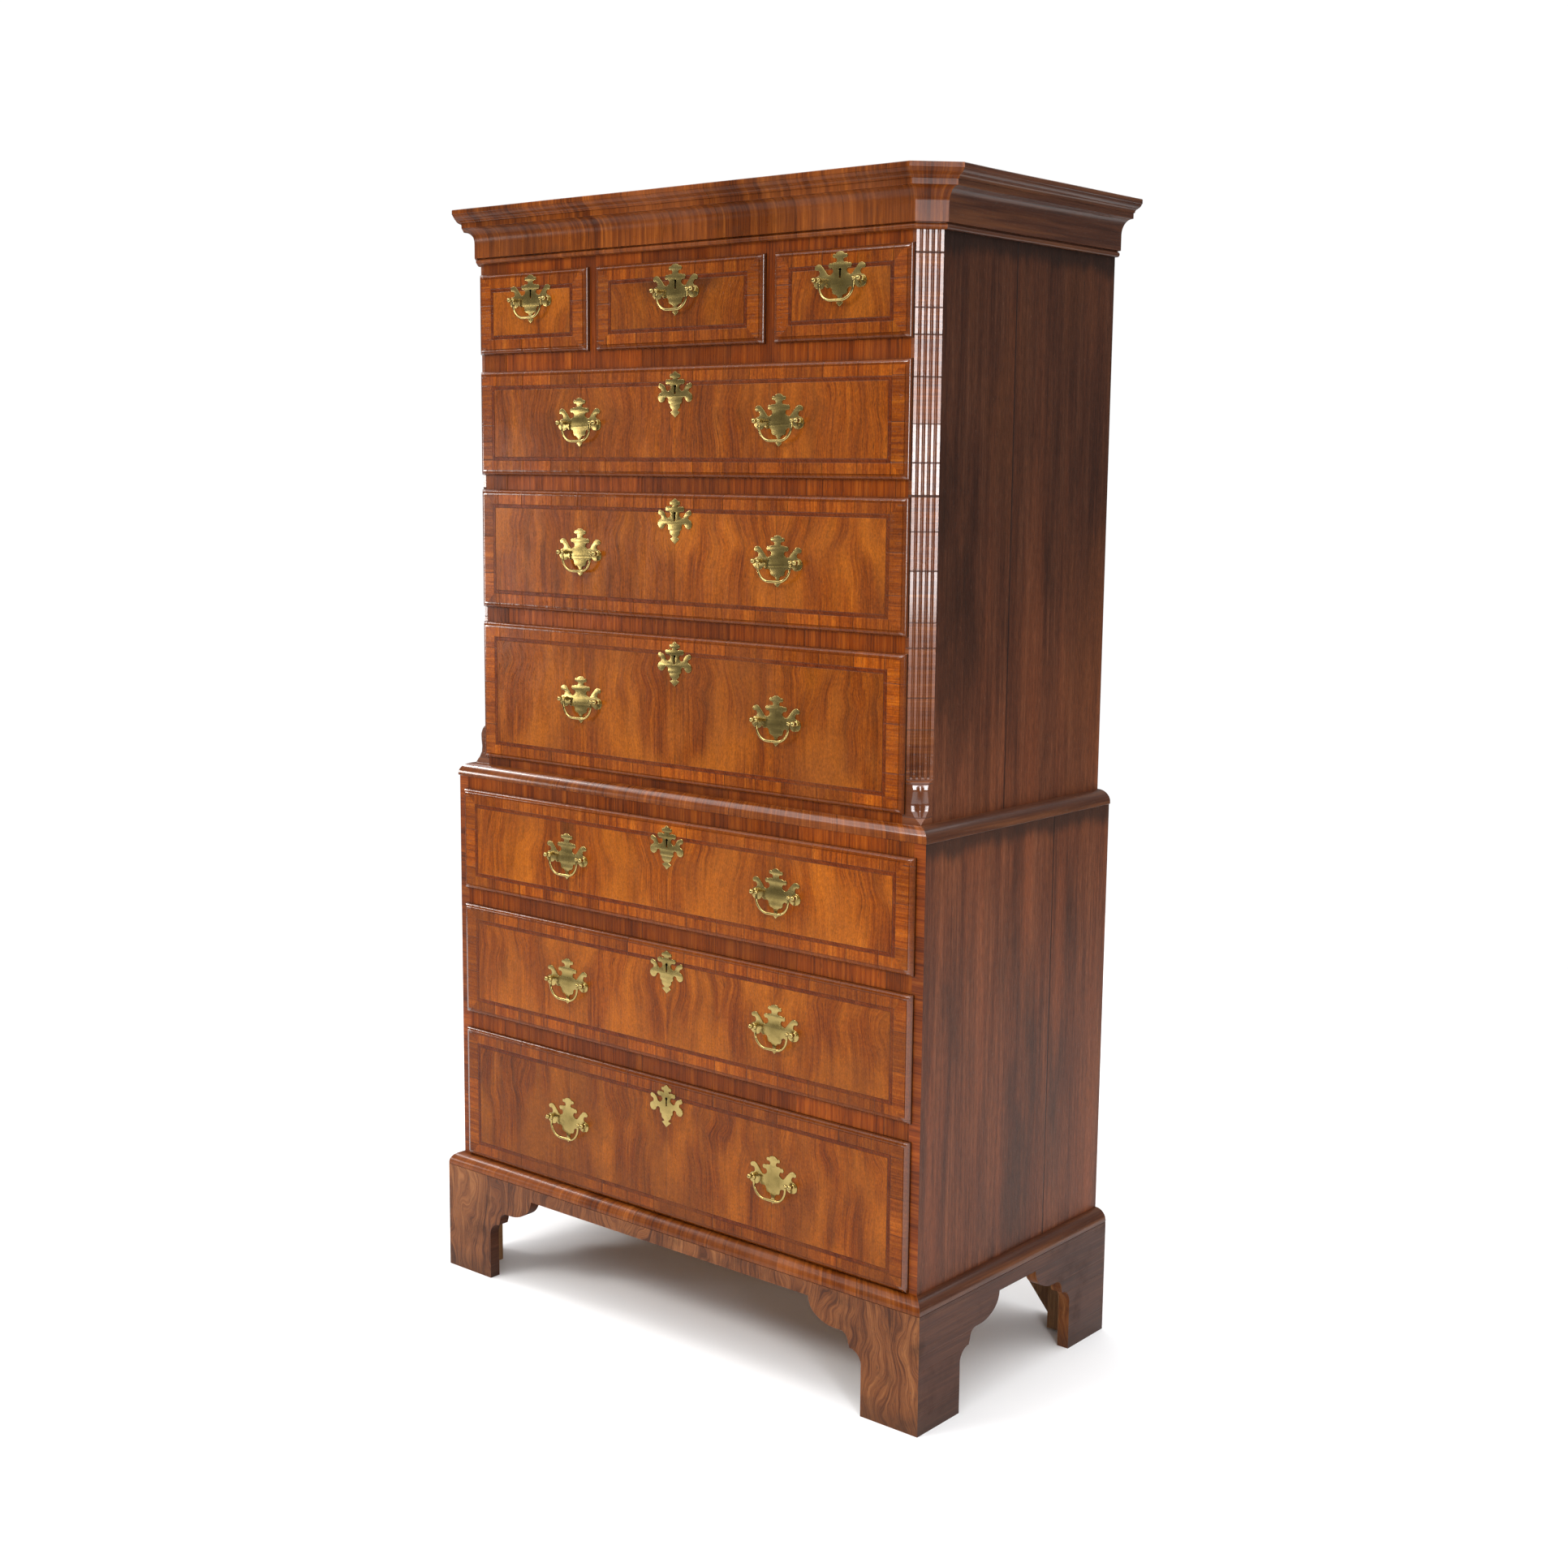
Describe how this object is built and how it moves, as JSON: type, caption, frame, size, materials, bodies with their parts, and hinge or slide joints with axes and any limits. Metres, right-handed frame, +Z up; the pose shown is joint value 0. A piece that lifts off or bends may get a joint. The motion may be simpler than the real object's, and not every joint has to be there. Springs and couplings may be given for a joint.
{
  "type": "chest on chest",
  "caption": "Tall walnut chest on chest: lipped drawers with swing handles and locks, fluted canted corners, cove cornice and bracket feet.",
  "frame": {"origin": "bottom centre of the bounding box: on the floor, midway across and midway between the furthest point at the front and the back", "axes": "+Z up, +Y to the back, drawers open along -Y, +X to the right as seen from the front"},
  "size_m": [1.024, 0.522, 1.8],
  "materials": {
    "walnut_front": "figured walnut veneer, waxed",
    "walnut_rails": "red-brown walnut rails, waxed",
    "walnut_sides": "dark stained solid sides, waxed",
    "pine": "plain planed softwood, unfinished",
    "brass": "aged, polished on the high spots",
    "steel": "dull filed steel"
  },
  "bodies": {
    "case": {"lower_sides": "walnut_sides", "lower_frame": "walnut_rails", "bracket_base": "walnut_front", "case_mouldings": "walnut_front", "upper_sides": "walnut_sides", "upper_frame": "walnut_rails", "canted_corners": "walnut_front", "cornice": "walnut_front", "back_boards": "pine"},
    "drawer_short_left": {"drawer_short_left_front": "walnut_front", "drawer_short_left_box": "pine", "drawer_short_left_brasses": "brass"},
    "drawer_short_left_bail": {"drawer_short_left_bail": "brass"},
    "drawer_short_left_lock_bolt": {"drawer_short_left_lock_bolt": "steel"},
    "drawer_short_middle": {"drawer_short_middle_front": "walnut_front", "drawer_short_middle_box": "pine", "drawer_short_middle_brasses": "brass"},
    "drawer_short_middle_bail": {"drawer_short_middle_bail": "brass"},
    "drawer_short_middle_lock_bolt": {"drawer_short_middle_lock_bolt": "steel"},
    "drawer_short_right": {"drawer_short_right_front": "walnut_front", "drawer_short_right_box": "pine", "drawer_short_right_brasses": "brass"},
    "drawer_short_right_bail": {"drawer_short_right_bail": "brass"},
    "drawer_short_right_lock_bolt": {"drawer_short_right_lock_bolt": "steel"},
    "drawer_upper_3": {"drawer_upper_3_front": "walnut_front", "drawer_upper_3_box": "pine", "drawer_upper_3_brasses": "brass"},
    "drawer_upper_3_bail_left": {"drawer_upper_3_bail_left": "brass"},
    "drawer_upper_3_bail_right": {"drawer_upper_3_bail_right": "brass"},
    "drawer_upper_3_lock_bolt": {"drawer_upper_3_lock_bolt": "steel"},
    "drawer_upper_2": {"drawer_upper_2_front": "walnut_front", "drawer_upper_2_box": "pine", "drawer_upper_2_brasses": "brass"},
    "drawer_upper_2_bail_left": {"drawer_upper_2_bail_left": "brass"},
    "drawer_upper_2_bail_right": {"drawer_upper_2_bail_right": "brass"},
    "drawer_upper_2_lock_bolt": {"drawer_upper_2_lock_bolt": "steel"},
    "drawer_upper_1": {"drawer_upper_1_front": "walnut_front", "drawer_upper_1_box": "pine", "drawer_upper_1_brasses": "brass"},
    "drawer_upper_1_bail_left": {"drawer_upper_1_bail_left": "brass"},
    "drawer_upper_1_bail_right": {"drawer_upper_1_bail_right": "brass"},
    "drawer_upper_1_lock_bolt": {"drawer_upper_1_lock_bolt": "steel"},
    "drawer_lower_3": {"drawer_lower_3_front": "walnut_front", "drawer_lower_3_box": "pine", "drawer_lower_3_brasses": "brass"},
    "drawer_lower_3_bail_left": {"drawer_lower_3_bail_left": "brass"},
    "drawer_lower_3_bail_right": {"drawer_lower_3_bail_right": "brass"},
    "drawer_lower_3_lock_bolt": {"drawer_lower_3_lock_bolt": "steel"},
    "drawer_lower_2": {"drawer_lower_2_front": "walnut_front", "drawer_lower_2_box": "pine", "drawer_lower_2_brasses": "brass"},
    "drawer_lower_2_bail_left": {"drawer_lower_2_bail_left": "brass"},
    "drawer_lower_2_bail_right": {"drawer_lower_2_bail_right": "brass"},
    "drawer_lower_2_lock_bolt": {"drawer_lower_2_lock_bolt": "steel"},
    "drawer_lower_1": {"drawer_lower_1_front": "walnut_front", "drawer_lower_1_box": "pine", "drawer_lower_1_brasses": "brass"},
    "drawer_lower_1_bail_left": {"drawer_lower_1_bail_left": "brass"},
    "drawer_lower_1_bail_right": {"drawer_lower_1_bail_right": "brass"},
    "drawer_lower_1_lock_bolt": {"drawer_lower_1_lock_bolt": "steel"}
  },
  "joints": [
    {"name": "drawer_short_left_slide", "type": "slide", "parent": "case", "child": "drawer_short_left", "axis": [0, -1, 0], "range_m": [0, 0.36]},
    {"name": "drawer_short_left_bail_swing", "type": "hinge", "parent": "drawer_short_left", "child": "drawer_short_left_bail", "pos_m": [-0.3145, -0.2332, 1.655], "axis": [-1, 0, 0], "range_deg": [-10, 150]},
    {"name": "drawer_short_left_lock_bolt_throw", "type": "slide", "parent": "drawer_short_left", "child": "drawer_short_left_lock_bolt", "axis": [0, 0, 1], "range_m": [0, 0.007]},
    {"name": "drawer_short_middle_slide", "type": "slide", "parent": "case", "child": "drawer_short_middle", "axis": [0, -1, 0], "range_m": [0, 0.36]},
    {"name": "drawer_short_middle_bail_swing", "type": "hinge", "parent": "drawer_short_middle", "child": "drawer_short_middle_bail", "pos_m": [0, -0.2332, 1.655], "axis": [-1, 0, 0], "range_deg": [-10, 150]},
    {"name": "drawer_short_middle_lock_bolt_throw", "type": "slide", "parent": "drawer_short_middle", "child": "drawer_short_middle_lock_bolt", "axis": [0, 0, 1], "range_m": [0, 0.007]},
    {"name": "drawer_short_right_slide", "type": "slide", "parent": "case", "child": "drawer_short_right", "axis": [0, -1, 0], "range_m": [0, 0.36]},
    {"name": "drawer_short_right_bail_swing", "type": "hinge", "parent": "drawer_short_right", "child": "drawer_short_right_bail", "pos_m": [0.3145, -0.2332, 1.655], "axis": [-1, 0, 0], "range_deg": [-10, 150]},
    {"name": "drawer_short_right_lock_bolt_throw", "type": "slide", "parent": "drawer_short_right", "child": "drawer_short_right_lock_bolt", "axis": [0, 0, 1], "range_m": [0, 0.007]},
    {"name": "drawer_upper_3_slide", "type": "slide", "parent": "case", "child": "drawer_upper_3", "axis": [0, -1, 0], "range_m": [0, 0.36]},
    {"name": "drawer_upper_3_bail_left_swing", "type": "hinge", "parent": "drawer_upper_3", "child": "drawer_upper_3_bail_left", "pos_m": [-0.205, -0.2332, 1.0205], "axis": [-1, 0, 0], "range_deg": [-10, 150]},
    {"name": "drawer_upper_3_bail_right_swing", "type": "hinge", "parent": "drawer_upper_3", "child": "drawer_upper_3_bail_right", "pos_m": [0.205, -0.2332, 1.0205], "axis": [-1, 0, 0], "range_deg": [-10, 150]},
    {"name": "drawer_upper_3_lock_bolt_throw", "type": "slide", "parent": "drawer_upper_3", "child": "drawer_upper_3_lock_bolt", "axis": [0, 0, 1], "range_m": [0, 0.007]},
    {"name": "drawer_upper_2_slide", "type": "slide", "parent": "case", "child": "drawer_upper_2", "axis": [0, -1, 0], "range_m": [0, 0.36]},
    {"name": "drawer_upper_2_bail_left_swing", "type": "hinge", "parent": "drawer_upper_2", "child": "drawer_upper_2_bail_left", "pos_m": [-0.205, -0.2332, 1.25625], "axis": [-1, 0, 0], "range_deg": [-10, 150]},
    {"name": "drawer_upper_2_bail_right_swing", "type": "hinge", "parent": "drawer_upper_2", "child": "drawer_upper_2_bail_right", "pos_m": [0.205, -0.2332, 1.25625], "axis": [-1, 0, 0], "range_deg": [-10, 150]},
    {"name": "drawer_upper_2_lock_bolt_throw", "type": "slide", "parent": "drawer_upper_2", "child": "drawer_upper_2_lock_bolt", "axis": [0, 0, 1], "range_m": [0, 0.007]},
    {"name": "drawer_upper_1_slide", "type": "slide", "parent": "case", "child": "drawer_upper_1", "axis": [0, -1, 0], "range_m": [0, 0.36]},
    {"name": "drawer_upper_1_bail_left_swing", "type": "hinge", "parent": "drawer_upper_1", "child": "drawer_upper_1_bail_left", "pos_m": [-0.205, -0.2332, 1.46025], "axis": [-1, 0, 0], "range_deg": [-10, 150]},
    {"name": "drawer_upper_1_bail_right_swing", "type": "hinge", "parent": "drawer_upper_1", "child": "drawer_upper_1_bail_right", "pos_m": [0.205, -0.2332, 1.46025], "axis": [-1, 0, 0], "range_deg": [-10, 150]},
    {"name": "drawer_upper_1_lock_bolt_throw", "type": "slide", "parent": "drawer_upper_1", "child": "drawer_upper_1_lock_bolt", "axis": [0, 0, 1], "range_m": [0, 0.007]},
    {"name": "drawer_lower_3_slide", "type": "slide", "parent": "case", "child": "drawer_lower_3", "axis": [0, -1, 0], "range_m": [0, 0.36]},
    {"name": "drawer_lower_3_bail_left_swing", "type": "hinge", "parent": "drawer_lower_3", "child": "drawer_lower_3_bail_left", "pos_m": [-0.222, -0.2502, 0.3195], "axis": [-1, 0, 0], "range_deg": [-10, 150]},
    {"name": "drawer_lower_3_bail_right_swing", "type": "hinge", "parent": "drawer_lower_3", "child": "drawer_lower_3_bail_right", "pos_m": [0.222, -0.2502, 0.3195], "axis": [-1, 0, 0], "range_deg": [-10, 150]},
    {"name": "drawer_lower_3_lock_bolt_throw", "type": "slide", "parent": "drawer_lower_3", "child": "drawer_lower_3_lock_bolt", "axis": [0, 0, 1], "range_m": [0, 0.007]},
    {"name": "drawer_lower_2_slide", "type": "slide", "parent": "case", "child": "drawer_lower_2", "axis": [0, -1, 0], "range_m": [0, 0.36]},
    {"name": "drawer_lower_2_bail_left_swing", "type": "hinge", "parent": "drawer_lower_2", "child": "drawer_lower_2_bail_left", "pos_m": [-0.222, -0.2502, 0.556], "axis": [-1, 0, 0], "range_deg": [-10, 150]},
    {"name": "drawer_lower_2_bail_right_swing", "type": "hinge", "parent": "drawer_lower_2", "child": "drawer_lower_2_bail_right", "pos_m": [0.222, -0.2502, 0.556], "axis": [-1, 0, 0], "range_deg": [-10, 150]},
    {"name": "drawer_lower_2_lock_bolt_throw", "type": "slide", "parent": "drawer_lower_2", "child": "drawer_lower_2_lock_bolt", "axis": [0, 0, 1], "range_m": [0, 0.007]},
    {"name": "drawer_lower_1_slide", "type": "slide", "parent": "case", "child": "drawer_lower_1", "axis": [0, -1, 0], "range_m": [0, 0.36]},
    {"name": "drawer_lower_1_bail_left_swing", "type": "hinge", "parent": "drawer_lower_1", "child": "drawer_lower_1_bail_left", "pos_m": [-0.222, -0.2502, 0.76425], "axis": [-1, 0, 0], "range_deg": [-10, 150]},
    {"name": "drawer_lower_1_bail_right_swing", "type": "hinge", "parent": "drawer_lower_1", "child": "drawer_lower_1_bail_right", "pos_m": [0.222, -0.2502, 0.76425], "axis": [-1, 0, 0], "range_deg": [-10, 150]},
    {"name": "drawer_lower_1_lock_bolt_throw", "type": "slide", "parent": "drawer_lower_1", "child": "drawer_lower_1_lock_bolt", "axis": [0, 0, 1], "range_m": [0, 0.007]}
  ]
}
